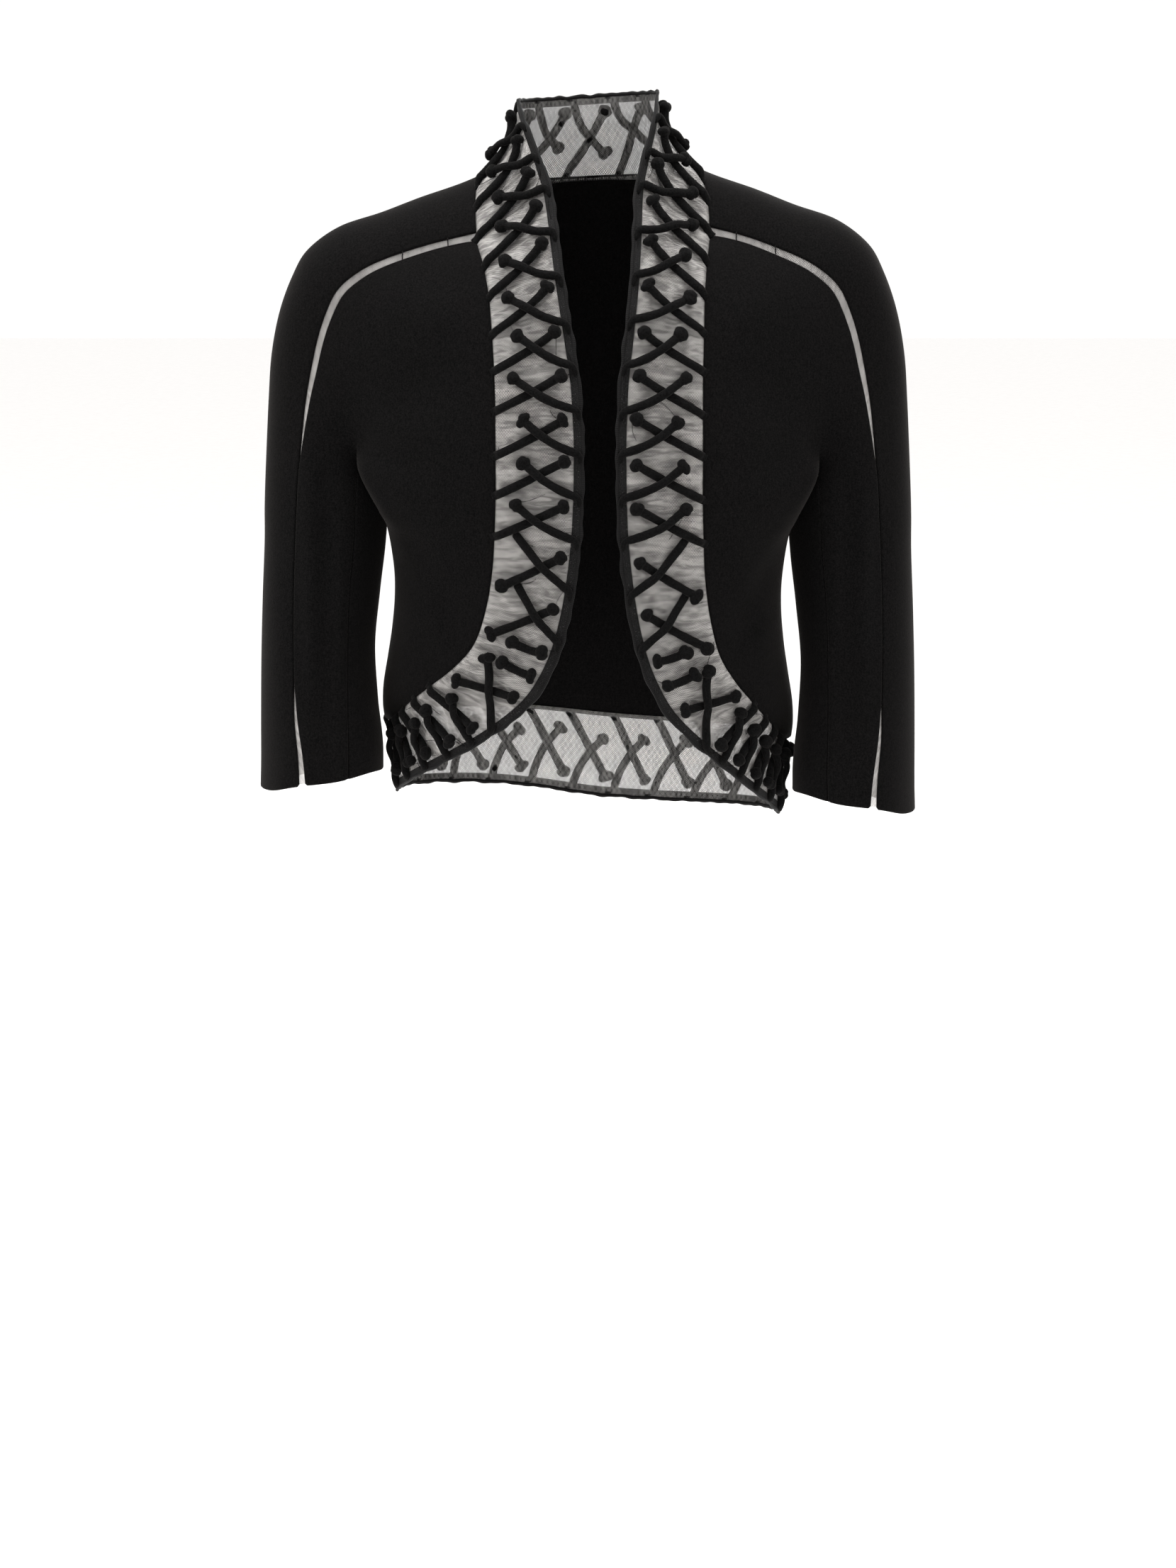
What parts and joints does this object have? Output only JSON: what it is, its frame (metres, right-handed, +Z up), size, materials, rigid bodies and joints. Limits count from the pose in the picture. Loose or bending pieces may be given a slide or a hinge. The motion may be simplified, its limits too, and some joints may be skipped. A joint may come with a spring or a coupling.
{
  "type": "bolero jacket",
  "caption": "Open cropped jacket in black wool crepe, with three-quarter sleeves, sheer inserts and a wide tulle band laced with crossed, knotted cords.",
  "frame": {"origin": "midway between the two points where the shoulder line meets the neck band, where the wearer's shoulders carry the jacket", "axes": "+Z up, the front faces -Y, +X towards the wearer's left"},
  "size_m": [0.547, 0.2508, 0.6108],
  "materials": {
    "wool_crepe": "matt black felted wool crepe with a fine nap",
    "tulle": "sheer black net",
    "sheer_insert": "sheer black net insertion",
    "cord": "matt black crepe-covered cord",
    "binding": "narrow black woven binding"
  },
  "bodies": {
    "root": {"back": "wool_crepe", "band_front_left": "tulle", "band_front_right": "tulle", "band_hem": "tulle", "band_neck": "tulle", "bar_left_1": "cord", "bar_left_2": "cord", "bar_right_1": "cord", "bar_right_2": "cord", "binding_front_left": "binding", "binding_front_right": "binding", "cross_collar_left_01": "cord", "cross_collar_left_02": "cord", "cross_collar_left_03": "cord", "cross_collar_right_01": "cord", "cross_collar_right_02": "cord", "cross_collar_right_03": "cord", "cross_corner_left_01": "cord", "cross_corner_right_01": "cord", "cross_front_left_01": "cord", "cross_front_left_02": "cord", "cross_front_left_03": "cord", "cross_front_left_04": "cord", "cross_front_left_05": "cord", "cross_front_left_06": "cord", "cross_front_left_07": "cord", "cross_front_left_08": "cord", "cross_front_left_09": "cord", "cross_front_left_10": "cord", "cross_front_right_01": "cord", "cross_front_right_02": "cord", "cross_front_right_03": "cord", "cross_front_right_04": "cord", "cross_front_right_05": "cord", "cross_front_right_06": "cord", "cross_front_right_07": "cord", "cross_front_right_08": "cord", "cross_front_right_09": "cord", "cross_front_right_10": "cord", "cross_hem_left_01": "cord", "cross_hem_left_02": "cord", "cross_hem_left_03": "cord", "cross_hem_left_04": "cord", "cross_hem_left_05": "cord", "cross_hem_right_01": "cord", "cross_hem_right_02": "cord", "cross_hem_right_03": "cord", "cross_hem_right_04": "cord", "cross_hem_right_05": "cord", "front_left": "wool_crepe", "front_right": "wool_crepe", "insert_left": "sheer_insert", "insert_right": "sheer_insert", "sleeve_top_left": "wool_crepe", "sleeve_top_right": "wool_crepe", "sleeve_under_left": "wool_crepe", "sleeve_under_right": "wool_crepe", "trim_hem_back": "cord", "trim_neck_back": "cord"}
  },
  "joints": []
}
